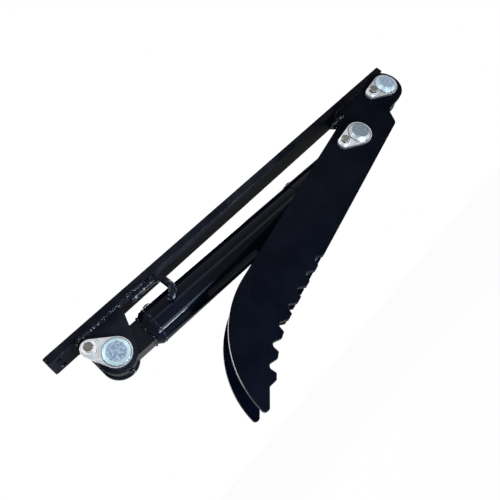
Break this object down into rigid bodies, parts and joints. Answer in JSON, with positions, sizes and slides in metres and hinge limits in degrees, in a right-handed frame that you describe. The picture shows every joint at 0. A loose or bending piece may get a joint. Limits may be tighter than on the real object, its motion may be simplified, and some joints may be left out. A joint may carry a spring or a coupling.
{
  "type": "hydraulic thumb",
  "caption": "Weld-on hydraulic thumb for a small excavator: a toothed steel thumb hinged on a flat base bar and swung by a cylinder between pinned lugs.",
  "frame": {"origin": "centre of the flat face of the base bar that is welded to the arm", "axes": "+Z out of the welded face, into the arm; +X along the base bar from the cylinder's end to the thumb's pivot; the pins' flags are at -Y. Folded against the arm with the cylinder retracted."},
  "size_m": [0.669, 0.1123, 0.2266],
  "materials": {
    "black_paint": "gloss",
    "zinc_plate": "bright zinc plate",
    "bolt_zinc": "dull zinc plate",
    "machined_steel": "turned",
    "hard_chrome": "ground",
    "bronze": "turned",
    "seal_rubber": "matte",
    "brass": "satin"
  },
  "bodies": {
    "base": {"base_plate": "black_paint", "cylinder_lug_near": "black_paint", "cylinder_lug_far": "black_paint", "pivot_lug_near": "black_paint", "pivot_lug_far": "black_paint", "pivot_tube": "black_paint", "pivot_bushes": "bronze", "pivot_nipple": "brass", "hose_guide": "black_paint", "cylinder_pin": "machined_steel", "cylinder_pin_flag": "zinc_plate", "cylinder_flag_washer": "zinc_plate", "cylinder_flag_bolt": "bolt_zinc"},
    "thumb": {"thumb_plate_near": "black_paint", "thumb_plate_far": "black_paint", "cross_bar_upper": "black_paint", "cross_bar_middle": "black_paint", "cross_bar_tip": "black_paint", "crank_boss_near": "black_paint", "crank_boss_far": "black_paint", "pivot_pin": "machined_steel", "pivot_pin_flag": "zinc_plate", "pin_collars": "black_paint", "flag_bolt_bosses": "black_paint", "crank_pin": "machined_steel", "crank_pin_flag": "zinc_plate", "thumb_flag_bolts": "bolt_zinc", "thumb_flag_spring_washers": "bolt_zinc", "thumb_flag_washers": "zinc_plate"},
    "barrel": {"base_eye": "black_paint", "base_eye_bush": "bronze", "base_eye_nipple": "black_paint", "end_cap": "black_paint", "barrel_tube": "black_paint", "cylinder_head": "black_paint", "base_port": "black_paint", "rod_port": "black_paint", "rod_seal": "seal_rubber", "rod_wiper": "seal_rubber"},
    "rod": {"piston_rod": "hard_chrome", "piston": "machined_steel", "piston_seal": "seal_rubber", "piston_nut": "machined_steel", "rod_eye": "black_paint", "rod_eye_bush": "bronze", "crank_pin_core": "machined_steel", "rod_eye_nipple": "brass"}
  },
  "joints": [
    {"name": "thumb_swing", "type": "hinge", "parent": "base", "child": "thumb", "pos_m": [0.285, 0, -0.04], "axis": [0, -1, 0], "range_deg": [0, 120]},
    {"name": "cylinder_swing", "type": "hinge", "parent": "base", "child": "barrel", "pos_m": [-0.271, 0, -0.053], "axis": [0, 1, 0], "range_deg": [0, 4.04]},
    {"name": "rod_slide", "type": "slide", "parent": "barrel", "child": "rod", "axis": [0.9995, 0, -0.0319], "range_m": [0, 0.18554]}
  ],
  "couplings": [
    {"joint": "cylinder_swing", "follows": "thumb_swing", "ratio": 0.033624},
    {"joint": "rod_slide", "follows": "thumb_swing", "m_per_rad": 0.088582}
  ]
}
